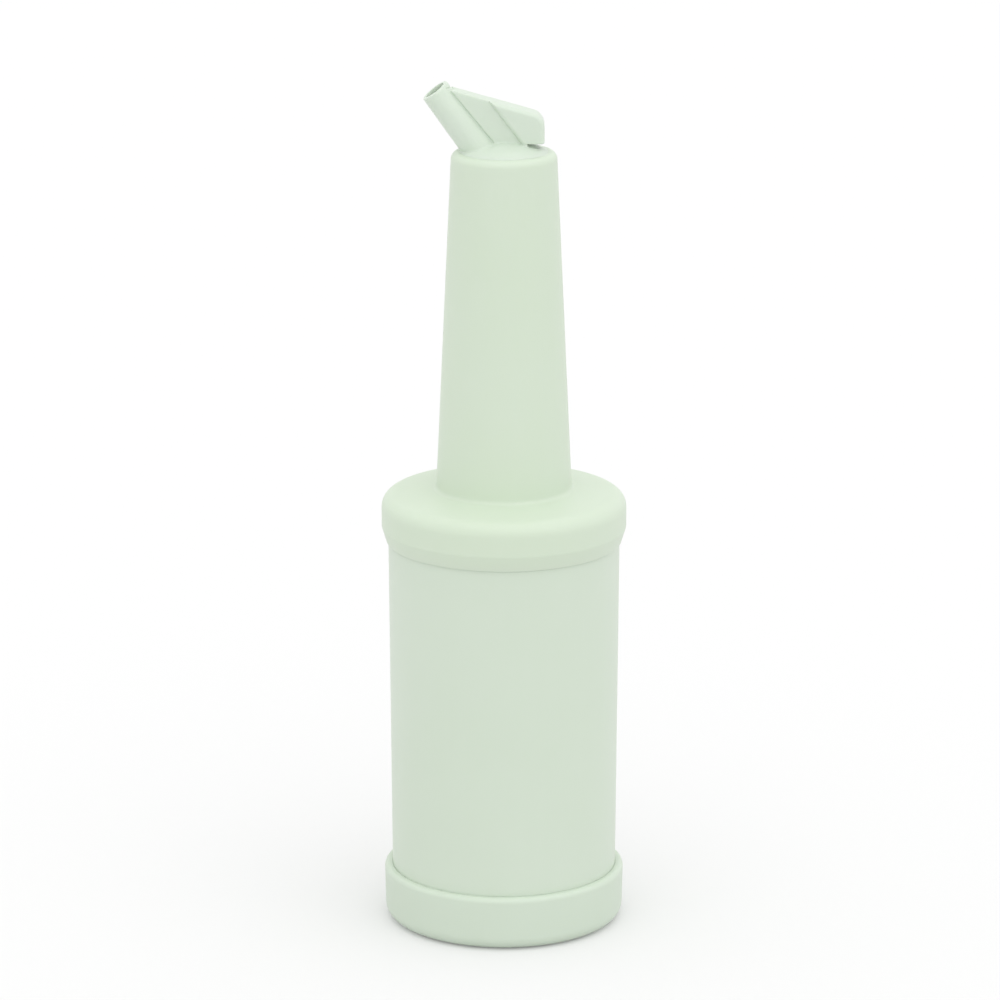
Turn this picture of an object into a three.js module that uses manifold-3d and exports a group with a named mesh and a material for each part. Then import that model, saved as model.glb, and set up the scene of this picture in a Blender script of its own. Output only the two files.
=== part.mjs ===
// A plastic store-and-pour bottle: a wide-mouthed jar, a funnel neck that screws down over its mouth,
// a spout that plugs into the neck, and the jar's storage cap, which is pushed over the jar's foot
// while the bottle is in use. Millimetres, +Z up. The origin is on the bottle's axis, on the surface
// that it stands on, and it pours towards -X.
import * as THREE from "three";
import { mergeVertices } from "three/addons/utils/BufferGeometryUtils.js";
import Module from "manifold-3d";

const wasm = await Module();
wasm.setup();

// Facets and clearances
const TURNED_SIDES = 40; // round the jar, neck and cap
const SMALL_SIDES = 32; // round the seals and the spout
const ARC_STEPS = 2; // half the number of facets in a rounded corner
const SEAT_GAP = 0.2; // between flat faces that are stacked
const SLIP_FIT = 0.3; // between round faces that slide past each other
const THREAD_ROOM = 1.3; // between the jar's mouth and the cap's wall, for the threads
const WELD = 1e-4; // corners nearer than this become one before a piece is joined or cut

// Jar
const JAR_TOP_RADIUS = 44; // outside, at the ledge under its mouth
const JAR_TAPER = 1.2; // how much smaller its radius is at the foot
const JAR_WALL_HEIGHT = 146.5; // from its base to the ledge
const JAR_WALL = 1.9;
const JAR_FLOOR = 2.4;
const JAR_FOOT_ROUND = 5;
const JAR_STANDING_WIDTH = 8.4; // of the ring that the base stands on
const JAR_PUSH_UP = 2.5; // how far the middle of its base is domed inwards
const LEDGE_WIDTH = 1.6; // from the wall in to the mouth
const LEDGE_SLOPE = 1.8; // height of the sloping ledge
const MOUTH_HEIGHT = 13.2; // from the wall's top to the lip
const MOUTH_WALL = 2.3;
const LIP_ROUND = 0.7;

// Storage cap, as it stands on the table with its open side up, and its liner
const CAP_HEIGHT = 21;
const CAP_WALL = 2.3; // at the rim
const CAP_DRAFT = 0.5; // how much smaller its radius is above the foot's rounding
const CAP_FLOOR = 2.2;
const CAP_FOOT_ROUND = 5;
const CAP_RIM_ROUND = 2;
const CAP_INSIDE_ROUND = 0.8; // small, so that the liner on the floor reaches past the jar's lip
const CAP_STANDING_WIDTH = 6.8; // of the ring that it stands on
const CAP_PANEL_DEPTH = 0.8; // of the panel inside that ring
const LINER_THICKNESS = 1.2;

// Seal ring that the neck is screwed down on
const NECK_SEAL_WIDTH = 4.8;
const NECK_SEAL_THICKNESS = 1.8;
const NECK_SEAL_ROUND = 0.4;

// Funnel neck with its skirt
const SKIRT_WALL = 2.2;
const SKIRT_OVERLAP = 1.2; // how far the skirt reaches below the jar's ledge
const SKIRT_RIM_BEVEL = 5.8; // height of the bevel under the skirt
const SKIRT_RIM_WALL = 0.4; // thickness left at the lower rim
const RECESS_DEPTH = 3.2; // narrower part under the ceiling, where the seal sits
const RECESS_ROUND = 1;
const SHOULDER_WALL = 2.1;
const SHOULDER_ROUND = 5.5;
const SHOULDER_RISE = 1.8; // from the shoulder's edge in to the funnel
const NECK_FOOT_RADIUS = 25.6; // outside, above the fillet
const NECK_FOOT_FILLET = 1.2;
const NECK_LENGTH = 131.8; // from the shoulder's edge to the rim
const NECK_WALL = 2;
const NECK_RIM_ROUND = 2.9;
const RIM_LAND = 1.1; // between that rounding and the socket's wall
const SOCKET_RADIUS = 14.1; // bore that the spout plugs into
const SOCKET_WALL = 1.8;
const SOCKET_DEPTH = 13;

// Spout: plug, seal ring, flange and dome
const PLUG_WALL = 2.2;
const PLUG_OVERHANG = 3; // how far the plug reaches below the socket
const PLUG_LEAD_IN = 0.9; // chamfer at its lower end
const SPOUT_SEAL_HEIGHT = 2.6;
const SPOUT_SEAL_SECTION = 1.05; // radial thickness of the ring
const SPOUT_SEAL_ROUND = 0.35;
const FLANGE_OVERLAP = 2.9; // of the flange on the neck's rim
const FLANGE_THICKNESS = 0.6;
const FLANGE_LAND = 0.8; // from the flange's edge in to the dome
const DOME_HEIGHT = 3.2; // above the flange
const DOME_WALL = 1.6;

// Spout: the pouring tube, the vent hood behind it and the narrower web between them
const POUR_TILT = 37; // degrees from upright
const POUR_SETBACK = 0.5; // from the flange's edge in to the tube's foot
const POUR_LENGTH = 28.9; // along the tube's axis, from the flange's underside to the mouth
const POUR_FOOT_WIDTH = 12.8; // outside, in the plane that the spout pours in
const POUR_MOUTH_WIDTH = 10.9;
const POUR_FOOT_BREADTH = 15.6; // outside, across that plane
const POUR_MOUTH_BREADTH = 13.3;
const POUR_WALL = 1.5;
const POUR_HEEL = 2; // below this height the tube's bore keeps within the plug's bore
const ROOF_TILT = 16; // degrees that the top falls away from the mouth
const ROOF_DROP = 3.3; // from the mouth down the tube's rear face to the roof
const WEB_WIDTH = 7.6; // between the tube and the hood
const WEB_BREADTH = 7.6;
const HOOD_BREADTH = 10.6;
const HOOD_SETBACK = 1.9; // from the flange's edge in to the hood's rear wall
const HOOD_WALL = 1.2;
const HOOD_EDGE_ROUND = 1.6;
const HOOD_CORNER_ROUND = 4; // where the roof meets the rear wall
const NOTCH_HEIGHT = 3.4; // finger notch under the hood's rear edge
const NOTCH_DEPTH = 6.5;
const AIR_SLOT_WIDTH = 7.2;
const AIR_SLOT_DEPTH = 1.6;

// Finishes: a pale sage plastic for what is moulded, and softer near-whites for the seals and the liner
const PALE_PLASTIC = { color: 0xd3dfce, roughness: 0.42, metalness: 0 };
const SEAL_RUBBER = { color: 0xdfe3da, roughness: 0.6, metalness: 0 };
const LINER_FOAM = { color: 0xe6e8e0, roughness: 0.9, metalness: 0 };

const degrees = THREE.MathUtils.degToRad;

// A mesh of one piece, named as its node, with a material of its own.
function piece(name, geometry, finish) {
  const mesh = new THREE.Mesh(geometry, new THREE.MeshStandardMaterial(finish));
  mesh.name = name;
  return mesh;
}

// Turns a profile of radius and height round the +Z axis.
function turned(profile, sides) {
  const points = profile.getPoints(ARC_STEPS);
  return new THREE.LatheGeometry(points, sides).rotateX(Math.PI / 2);
}

// A rounded corner of a profile, from one angle to another in degrees.
function corner(profile, radius, height, round, from, to) {
  profile.absarc(radius, height, round, degrees(from), degrees(to), to < from);
}

// A closed geometry as a solid that can be joined and cut.
function solid(geometry) {
  const bare = geometry.clone();
  bare.deleteAttribute("normal");
  bare.deleteAttribute("uv");
  const merged = mergeVertices(bare, WELD);
  return new wasm.Manifold(
    new wasm.Mesh({
      numProp: 3,
      vertProperties: merged.attributes.position.array,
      triVerts: new Uint32Array(merged.index.array),
    }),
  );
}

// A joined and cut solid back as a geometry.
function geometryOf(made) {
  const { vertProperties, triVerts } = made.getMesh();
  const geometry = new THREE.BufferGeometry();
  geometry.setAttribute("position", new THREE.BufferAttribute(vertProperties, 3));
  geometry.setIndex(new THREE.BufferAttribute(triVerts, 1));
  geometry.computeVertexNormals();
  return geometry;
}

// Storage cap: a shallow cup with a rounded foot and rim.
const mouthRadius = JAR_TOP_RADIUS - LEDGE_WIDTH; // of the jar, which the cap is made to fit
const capBore = mouthRadius + THREAD_ROOM;
const capFloorTop = CAP_PANEL_DEPTH + CAP_FLOOR;

function storageCap() {
  const rimRadius = capBore + CAP_WALL;
  const standingRadius = rimRadius - CAP_DRAFT - CAP_FOOT_ROUND;
  const panelRadius = standingRadius - CAP_STANDING_WIDTH;
  const profile = new THREE.Path();
  profile.moveTo(0, CAP_PANEL_DEPTH);
  profile.lineTo(panelRadius - CAP_PANEL_DEPTH, CAP_PANEL_DEPTH);
  profile.lineTo(panelRadius, 0);
  corner(profile, standingRadius, CAP_FOOT_ROUND, CAP_FOOT_ROUND, -90, 0);
  corner(profile, rimRadius - CAP_RIM_ROUND, CAP_HEIGHT - CAP_RIM_ROUND, CAP_RIM_ROUND, 0, 90);
  profile.lineTo(capBore, CAP_HEIGHT);
  corner(profile, capBore - CAP_INSIDE_ROUND, capFloorTop + CAP_INSIDE_ROUND, CAP_INSIDE_ROUND, 0, -90);
  profile.lineTo(0, capFloorTop);
  return turned(profile, TURNED_SIDES);
}

// Liner: a foam disc that lies on the cap's floor, inside the rounding at its edge.
const linerRadius = capBore - CAP_INSIDE_ROUND - SLIP_FIT;

function capLiner() {
  const profile = new THREE.Path();
  profile.moveTo(0, 0);
  profile.lineTo(linerRadius, 0);
  profile.lineTo(linerRadius, LINER_THICKNESS);
  profile.lineTo(0, LINER_THICKNESS);
  return turned(profile, SMALL_SIDES);
}

// Jar: a slightly tapered wall, a base with a push-up, and a ledge below a narrower mouth for the threads.
const jarHeight = JAR_WALL_HEIGHT + MOUTH_HEIGHT;

function jar() {
  const footRadius = JAR_TOP_RADIUS - JAR_TAPER;
  const footCentre = footRadius - JAR_FOOT_ROUND;
  const insideRound = JAR_FOOT_ROUND - JAR_WALL;
  const pushUpRadius = footCentre - JAR_STANDING_WIDTH;
  const mouthBore = mouthRadius - MOUTH_WALL;
  const lipCentre = jarHeight - LIP_ROUND;
  const profile = new THREE.Path();
  profile.moveTo(0, JAR_PUSH_UP);
  profile.quadraticCurveTo(pushUpRadius / 2, JAR_PUSH_UP, pushUpRadius, 0);
  corner(profile, footCentre, JAR_FOOT_ROUND, JAR_FOOT_ROUND, -90, 0);
  profile.lineTo(JAR_TOP_RADIUS, JAR_WALL_HEIGHT);
  profile.lineTo(mouthRadius, JAR_WALL_HEIGHT + LEDGE_SLOPE);
  corner(profile, mouthRadius - LIP_ROUND, lipCentre, LIP_ROUND, 0, 90);
  corner(profile, mouthBore + LIP_ROUND, lipCentre, LIP_ROUND, 90, 180);
  profile.lineTo(mouthBore, JAR_WALL_HEIGHT);
  profile.lineTo(JAR_TOP_RADIUS - JAR_WALL, JAR_WALL_HEIGHT - LEDGE_SLOPE);
  corner(profile, footCentre, JAR_FLOOR + insideRound, insideRound, 0, -90);
  profile.lineTo(pushUpRadius, JAR_FLOOR);
  profile.quadraticCurveTo(pushUpRadius / 2, JAR_FLOOR + JAR_PUSH_UP, 0, JAR_FLOOR + JAR_PUSH_UP);
  return turned(profile, TURNED_SIDES);
}

// A flat-sided ring with softened edges, from its inside and outside radius and its height.
function ring(inside, outside, height, edge) {
  const profile = new THREE.Path();
  profile.moveTo(inside + edge, 0);
  profile.lineTo(outside - edge, 0);
  corner(profile, outside - edge, edge, edge, -90, 0);
  corner(profile, outside - edge, height - edge, edge, 0, 90);
  corner(profile, inside + edge, height - edge, edge, 90, 180);
  corner(profile, inside + edge, edge, edge, 180, 270);
  return turned(profile, SMALL_SIDES);
}

// Seal of the neck: a flat ring that lies on the jar's lip, held in the recess under the neck's ceiling.
const recessRadius = mouthRadius + 2 * SLIP_FIT;

function neckSeal() {
  const outside = recessRadius - SLIP_FIT;
  return ring(outside - NECK_SEAL_WIDTH, outside, NECK_SEAL_THICKNESS, NECK_SEAL_ROUND);
}

// Neck: skirt, shoulder and tapering funnel in one moulding. Its rim turns in and hangs down inside
// as the spout's socket.
const skirtDepth = SKIRT_OVERLAP + MOUTH_HEIGHT + NECK_SEAL_THICKNESS + 2 * SEAT_GAP; // up to the ceiling
const shoulderTop = skirtDepth + SHOULDER_WALL;
const rimHeight = shoulderTop + NECK_LENGTH;

function neck() {
  const skirtBore = JAR_TOP_RADIUS + SLIP_FIT;
  const skirtRadius = skirtBore + SKIRT_WALL;
  const filletTop = shoulderTop + SHOULDER_RISE + NECK_FOOT_FILLET;
  const socketOutside = SOCKET_RADIUS + SOCKET_WALL;
  const rimCentre = socketOutside + RIM_LAND;
  const roundBase = rimHeight - NECK_RIM_ROUND;
  const recessBase = skirtDepth - RECESS_DEPTH;
  const insideFoot = NECK_FOOT_RADIUS - NECK_WALL;
  const profile = new THREE.Path();
  profile.moveTo(skirtBore, 0);
  profile.lineTo(skirtBore + SKIRT_RIM_WALL, 0);
  profile.lineTo(skirtRadius, SKIRT_RIM_BEVEL);
  corner(profile, skirtRadius - SHOULDER_ROUND, shoulderTop - SHOULDER_ROUND, SHOULDER_ROUND, 0, 90);
  corner(profile, NECK_FOOT_RADIUS + NECK_FOOT_FILLET, filletTop, NECK_FOOT_FILLET, -90, -180);
  corner(profile, rimCentre, roundBase, NECK_RIM_ROUND, 0, 90);
  profile.lineTo(SOCKET_RADIUS, rimHeight);
  profile.lineTo(SOCKET_RADIUS, rimHeight - SOCKET_DEPTH);
  profile.lineTo(socketOutside, rimHeight - SOCKET_DEPTH);
  profile.lineTo(socketOutside, rimHeight - NECK_WALL);
  corner(profile, rimCentre, roundBase, NECK_RIM_ROUND - NECK_WALL, 90, 0);
  profile.lineTo(insideFoot, filletTop);
  corner(profile, insideFoot + NECK_FOOT_FILLET, skirtDepth + NECK_FOOT_FILLET, NECK_FOOT_FILLET, 180, 270);
  corner(profile, recessRadius - RECESS_ROUND, skirtDepth - RECESS_ROUND, RECESS_ROUND, 90, 0);
  profile.lineTo(recessRadius, recessBase);
  profile.lineTo(skirtBore, recessBase - (skirtBore - recessRadius));
  profile.lineTo(skirtBore, 0);
  return turned(profile, TURNED_SIDES);
}

// Seal of the spout: a ring in the plug's groove that runs in the neck's socket.
const plugRadius = SOCKET_RADIUS - SLIP_FIT;
const plugBore = plugRadius - PLUG_WALL;
const sealOutside = SOCKET_RADIUS - SLIP_FIT / 2;
const sealInside = sealOutside - SPOUT_SEAL_SECTION;

function spoutSeal() {
  return ring(sealInside, sealOutside, SPOUT_SEAL_HEIGHT, SPOUT_SEAL_ROUND);
}

// The spout's round parts: a plug with the seal's groove, a flange that rests on the neck's rim, and a
// low dome.
const plugLength = SOCKET_DEPTH + PLUG_OVERHANG;
const grooveHalf = SPOUT_SEAL_HEIGHT / 2 + SEAT_GAP;
const grooveBase = -SOCKET_DEPTH / 2 - grooveHalf; // the ring lies half way down the socket
const grooveTop = -SOCKET_DEPTH / 2 + grooveHalf;
const flangeRadius = SOCKET_RADIUS + FLANGE_OVERLAP;
const domeRadius = flangeRadius - FLANGE_LAND;

// Adds to a profile the cap of a sphere that is this wide at its base and this high, up to the axis.
function domeArc(profile, base, width, height) {
  const sphere = (width * width + height * height) / (2 * height);
  const start = THREE.MathUtils.radToDeg(Math.acos(width / sphere));
  profile.absarc(0, base + height - sphere, sphere, degrees(start), degrees(90), false);
}

function plugAndDome() {
  const grooveRadius = sealInside - SLIP_FIT / 2;
  const profile = new THREE.Path();
  profile.moveTo(0, -plugLength);
  profile.lineTo(plugRadius - PLUG_LEAD_IN, -plugLength);
  profile.lineTo(plugRadius, PLUG_LEAD_IN - plugLength);
  profile.lineTo(plugRadius, grooveBase);
  profile.lineTo(grooveRadius, grooveBase);
  profile.lineTo(grooveRadius, grooveTop);
  profile.lineTo(plugRadius, grooveTop);
  profile.lineTo(plugRadius, 0);
  profile.lineTo(flangeRadius, 0);
  profile.lineTo(flangeRadius, FLANGE_THICKNESS);
  profile.lineTo(domeRadius, FLANGE_THICKNESS);
  domeArc(profile, FLANGE_THICKNESS, domeRadius, DOME_HEIGHT);
  return solid(turned(profile, SMALL_SIDES));
}

function plugHollow() {
  const below = -plugLength - PLUG_OVERHANG; // past the plug's open end
  const profile = new THREE.Path();
  profile.moveTo(0, below);
  profile.lineTo(plugBore, below);
  profile.lineTo(plugBore, 0);
  domeArc(profile, 0, plugBore, FLANGE_THICKNESS + DOME_HEIGHT - DOME_WALL);
  return solid(turned(profile, SMALL_SIDES));
}

// The pouring tube's frame: up its axis, square to it towards the hood, and where the axis leaves the
// flange's underside.
const pourAxis = new THREE.Vector2(-Math.sin(degrees(POUR_TILT)), Math.cos(degrees(POUR_TILT)));
const pourSide = new THREE.Vector2(pourAxis.y, -pourAxis.x);
const pourFootX = POUR_SETBACK - flangeRadius + POUR_FOOT_WIDTH / 2 / pourAxis.y;

// A point of the pouring plane, from its distance up the tube's axis and its distance to the side.
function alongTube(up, side) {
  const foot = new THREE.Vector2(pourFootX, 0);
  return foot.addScaledVector(pourAxis, up).addScaledVector(pourSide, side);
}

// The point at this height on a line beside the tube's axis, at this distance from it.
function besideTube(side, height) {
  const foot = new THREE.Vector2(pourFootX + side / pourAxis.y, 0);
  return foot.addScaledVector(pourAxis, height / pourAxis.y);
}

// A tapered oval rod on the tube's axis, a wall inside the tube's outer face. It reaches past the mouth, and
// so far past the foot that its slanting end lies below the flange.
function ovalRod(wall, past) {
  const below = POUR_FOOT_WIDTH / 2;
  const length = POUR_LENGTH + below + past;
  const rod = new THREE.CylinderGeometry(1, 1, length, SMALL_SIDES).rotateX(Math.PI / 2);
  rod.translate(0, 0, length / 2 - below);
  const place = rod.attributes.position;
  for (let i = 0; i < place.count; i += 1) {
    const share = place.getZ(i) / POUR_LENGTH;
    const width = THREE.MathUtils.lerp(POUR_FOOT_WIDTH, POUR_MOUTH_WIDTH, share) - 2 * wall;
    const breadth = THREE.MathUtils.lerp(POUR_FOOT_BREADTH, POUR_MOUTH_BREADTH, share) - 2 * wall;
    place.setX(i, (place.getX(i) * width) / 2);
    place.setY(i, (place.getY(i) * breadth) / 2);
  }
  rod.rotateY(-degrees(POUR_TILT));
  rod.translate(pourFootX, 0, 0);
  return solid(rod);
}

// The roof's line: it starts on the tube's rear face, below the mouth, and falls towards the hood's rear.
const roofStart = alongTube(POUR_LENGTH - ROOF_DROP, POUR_MOUTH_WIDTH / 2);
const roofAt = (x) => roofStart.y - (x - roofStart.x) * Math.tan(degrees(ROOF_TILT));

// Where a line at this distance beside the tube's axis meets a line parallel to the roof, a wall below it.
function underRoof(side, wall) {
  const foot = besideTube(side, 0);
  const slope = Math.tan(degrees(ROOF_TILT));
  const gap = roofAt(foot.x) - wall / Math.cos(degrees(ROOF_TILT));
  return foot.addScaledVector(pourAxis, gap / (pourAxis.y + pourAxis.x * slope));
}

// An outline in the pouring plane as a solid this broad, with its long edges rounded off.
function slab(outline, breadth, edgeRound) {
  const geometry = new THREE.ExtrudeGeometry(outline, {
    depth: breadth - 2 * edgeRound,
    curveSegments: 2 * ARC_STEPS,
    bevelEnabled: edgeRound > 0,
    bevelThickness: edgeRound,
    bevelSize: edgeRound,
    bevelOffset: -edgeRound,
    bevelSegments: ARC_STEPS,
  });
  geometry.translate(0, 0, edgeRound - breadth / 2);
  return solid(geometry.rotateX(Math.PI / 2));
}

const hoodSide = POUR_FOOT_WIDTH / 2 + WEB_WIDTH; // from the tube's axis to the hood's front
const hoodRear = flangeRadius - HOOD_SETBACK;

// The web under the roof, from within the tube's wall to just inside the hood's front.
function web() {
  const front = POUR_MOUTH_WIDTH / 2 - POUR_WALL;
  const rear = hoodSide + HOOD_WALL;
  const foot = [besideTube(front, 0), besideTube(rear, 0)];
  const top = [underRoof(rear, 0), underRoof(front, 0)];
  return slab(new THREE.Shape([...foot, ...top]), WEB_BREADTH, 0);
}

// The hollow in the web, behind the tube's wall, open to the dome below and the hood behind.
function webHollow() {
  const front = POUR_FOOT_WIDTH / 2 + HOOD_WALL;
  const rear = hoodSide + 2 * HOOD_WALL;
  const foot = [besideTube(front, 0), besideTube(rear, 0)];
  const top = [underRoof(rear, HOOD_WALL), underRoof(front, HOOD_WALL)];
  return slab(new THREE.Shape([...foot, ...top]), WEB_BREADTH - 2 * HOOD_WALL, 0);
}

// The hood's outline above a height, a wall inside its outer faces, with its upper rear corner rounded.
function hoodOutline(wall, base) {
  const front = hoodSide + wall;
  const rear = hoodRear - wall;
  const peak = underRoof(front, wall);
  const roofRear = roofAt(rear) - wall / Math.cos(degrees(ROOF_TILT));
  const round = HOOD_CORNER_ROUND - wall;
  const roofEnd = rear - round * Math.cos(degrees(ROOF_TILT));
  const outline = new THREE.Shape();
  outline.moveTo(besideTube(front, base).x, base);
  outline.lineTo(rear, base);
  outline.lineTo(rear, roofRear - round);
  outline.quadraticCurveTo(rear, roofRear, roofEnd, roofRear + round * Math.sin(degrees(ROOF_TILT)));
  outline.lineTo(peak.x, peak.y);
  return outline;
}

// A box from two opposite corners.
function block(low, high) {
  const size = new THREE.Vector3().subVectors(high, low);
  const middle = new THREE.Vector3().addVectors(low, high).multiplyScalar(0.5);
  return solid(new THREE.BoxGeometry(size.x, size.y, size.z).translate(middle.x, middle.y, middle.z));
}

// The hood, with a notch under its rear edge to lift the spout out by.
function hood() {
  const notch = block(
    new THREE.Vector3(hoodRear - NOTCH_DEPTH, -HOOD_BREADTH, -NOTCH_HEIGHT),
    new THREE.Vector3(hoodRear + NOTCH_DEPTH, HOOD_BREADTH, NOTCH_HEIGHT),
  );
  return slab(hoodOutline(0, 0), HOOD_BREADTH, HOOD_EDGE_ROUND).subtract(notch);
}

// The vent's chamber in the hood and the web. In front of the notch it opens into the dome, and a slot in
// the notch's ceiling lets in the air.
function ventChamber() {
  const ceiling = NOTCH_HEIGHT + HOOD_WALL;
  const hoodHollow = slab(hoodOutline(HOOD_WALL, ceiling), HOOD_BREADTH - 2 * HOOD_WALL, 0);
  const overNotch = block(
    new THREE.Vector3(hoodRear - NOTCH_DEPTH - HOOD_WALL, -HOOD_BREADTH, -NOTCH_HEIGHT),
    new THREE.Vector3(hoodRear + HOOD_WALL, HOOD_BREADTH, ceiling),
  );
  const slotRear = hoodRear - HOOD_WALL;
  const airSlot = block(
    new THREE.Vector3(slotRear - AIR_SLOT_DEPTH, -AIR_SLOT_WIDTH / 2, NOTCH_HEIGHT - HOOD_WALL / 2),
    new THREE.Vector3(slotRear, AIR_SLOT_WIDTH / 2, ceiling + HOOD_WALL),
  );
  return webHollow().subtract(overNotch).add(hoodHollow).add(airSlot);
}

// All the space above a height.
function above(height) {
  const reach = 3 * POUR_LENGTH;
  return block(new THREE.Vector3(-reach, -reach, height), new THREE.Vector3(reach, reach, reach));
}

// The tube's bore. At its heel it is kept within the plug's bore, so that it can't break out under the
// flange.
function pourBore() {
  const length = 2 * POUR_HEEL;
  const overPlug = new THREE.CylinderGeometry(plugBore, plugBore, length, SMALL_SIDES).rotateX(Math.PI / 2);
  overPlug.translate(0, 0, length / 2);
  return ovalRod(POUR_WALL, POUR_WALL).intersect(above(POUR_HEEL).add(solid(overPlug)));
}

// Spout: plug, dome, tube, web and hood in one moulding, open from the plug to the mouth and to the
// air slot.
function spout() {
  const snout = ovalRod(0, 0).add(web()).add(hood()).intersect(above(0));
  const passages = plugHollow().add(pourBore()).add(ventChamber());
  return geometryOf(snout.add(plugAndDome()).subtract(passages));
}

// The bottle, put together from the table up. Each piece stands on the one below it by the same sizes.
const bottle = new THREE.Group();

const cap = new THREE.Group();
cap.add(piece("storage_cap", storageCap(), PALE_PLASTIC));
const liner = piece("cap_liner", capLiner(), LINER_FOAM);
liner.position.z = capFloorTop + SEAT_GAP;
cap.add(liner);

const jarBase = liner.position.z + LINER_THICKNESS + SEAT_GAP;
const container = piece("jar", jar(), PALE_PLASTIC);
container.position.z = jarBase;

const lip = jarBase + jarHeight;
const lowerSeal = piece("neck_seal", neckSeal(), SEAL_RUBBER);
lowerSeal.position.z = lip + SEAT_GAP;

const funnel = new THREE.Group();
funnel.position.z = jarBase + JAR_WALL_HEIGHT - SKIRT_OVERLAP;
funnel.add(piece("neck", neck(), PALE_PLASTIC));

const pourer = new THREE.Group();
pourer.position.z = rimHeight + SEAT_GAP;
const upperSeal = piece("spout_seal", spoutSeal(), SEAL_RUBBER);
upperSeal.position.z = grooveBase + SEAT_GAP;
pourer.add(piece("spout", spout(), PALE_PLASTIC), upperSeal);
funnel.add(pourer);

bottle.add(cap, container, lowerSeal, funnel);

export default bottle;
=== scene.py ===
import bpy
import numpy as np
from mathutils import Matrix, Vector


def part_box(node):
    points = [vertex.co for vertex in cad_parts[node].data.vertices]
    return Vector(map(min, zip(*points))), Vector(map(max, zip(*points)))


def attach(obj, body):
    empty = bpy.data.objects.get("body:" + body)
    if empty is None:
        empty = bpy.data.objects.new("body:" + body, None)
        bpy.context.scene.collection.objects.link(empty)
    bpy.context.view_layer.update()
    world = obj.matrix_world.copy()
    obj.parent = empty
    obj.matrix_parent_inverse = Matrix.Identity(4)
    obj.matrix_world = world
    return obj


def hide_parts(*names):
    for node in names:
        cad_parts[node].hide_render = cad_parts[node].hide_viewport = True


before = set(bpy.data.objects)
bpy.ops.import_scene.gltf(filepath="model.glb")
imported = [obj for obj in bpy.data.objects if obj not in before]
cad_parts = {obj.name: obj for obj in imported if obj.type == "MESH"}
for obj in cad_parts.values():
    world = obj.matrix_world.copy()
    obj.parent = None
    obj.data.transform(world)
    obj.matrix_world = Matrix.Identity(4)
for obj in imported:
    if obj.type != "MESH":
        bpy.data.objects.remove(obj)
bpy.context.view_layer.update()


# Storage cap
# The jar's own screw lid, injection-moulded in pale sage polyethylene with a thread inside. While the bottle
# pours, it stands under the jar with its open side up, pushed over the jar's foot.
MM = 0.001  # sizes are written in millimetres, and the scene is in metres
SIDES = 224  # facets round a turned piece
BEND_FACETS = 8  # facets in a rounded corner
LONGEST_STEP = 2.5  # between two rows of a turned piece
SAME_POINT = 1e-6  # nearer than this, two points of a profile are one
TINY = 1e-12  # the least length that is divided by
FULL_TURN = 2 * np.pi


def extent(node):
    """Lowest and highest corner of a solid at rest, in millimetres."""
    low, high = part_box(node)
    return np.array(low) / MM, np.array(high) / MM


def unit(vectors):
    """Each vector divided by its own length."""
    return vectors / np.maximum(np.linalg.norm(vectors, axis=-1, keepdims=True), TINY)


def refined(points, step):
    """A line through the same points, with more put in so that no stretch is longer than the step."""
    lengths = np.linalg.norm(np.diff(points, axis=0), axis=1)
    counts = np.ceil(lengths / step).astype(int)
    places = [index + np.arange(count) / count for index, count in enumerate(counts)]
    where = np.append(np.concatenate(places), len(counts))
    order = np.arange(len(points))
    return np.stack([np.interp(where, order, points[:, axis]) for axis in (0, 1)], axis=1)


def profile(corners, ring=False, step=LONGEST_STEP):
    """A profile of radius and height. Straight lines join its corners (radius, height, bend), and an arc with
    the radius of the bend touches both lines at each corner. A ring's profile ends where it starts."""
    corners = np.array(corners, float)
    place, bend = corners[:, :2], corners[:, 2:]
    back = unit(np.roll(place, 1, axis=0) - place)
    ahead = unit(np.roll(place, -1, axis=0) - place)
    half = np.arccos(np.sum(back * ahead, axis=1, keepdims=True)) / 2
    centre = place + unit(back + ahead) * bend / np.sin(half)
    start = place + back * bend / np.tan(half) - centre
    end = place + ahead * bend / np.tan(half) - centre
    start_angle = np.arctan2(start[:, 1], start[:, 0])
    sweep = np.arctan2(end[:, 1], end[:, 0]) - start_angle
    sweep = (sweep + np.pi) % FULL_TURN - np.pi
    angle = start_angle[:, None] + sweep[:, None] * np.linspace(0, 1, BEND_FACETS + 1)
    around = np.stack([np.cos(angle), np.sin(angle)], axis=-1)
    points = (centre[:, None] + bend[:, None] * around).reshape(-1, 2)
    if ring:
        points = np.append(points, points[:1], axis=0)
    fresh = np.linalg.norm(np.diff(points, axis=0), axis=1) > SAME_POINT
    return refined(points[np.append(True, fresh)], step)


def add_piece(name, points, faces, normals=None):
    """A smooth-shaded piece from points in millimetres and faces that number them. Normals, if there are any,
    are those of the face corners in turn."""
    mesh = bpy.data.meshes.new(name)
    mesh.from_pydata(points * MM, [], faces)
    mesh.shade_smooth()
    if normals is not None:
        mesh.normals_split_custom_set(normals)
    piece = bpy.data.objects.new(name, mesh)
    bpy.context.scene.collection.objects.link(piece)
    return piece


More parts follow.
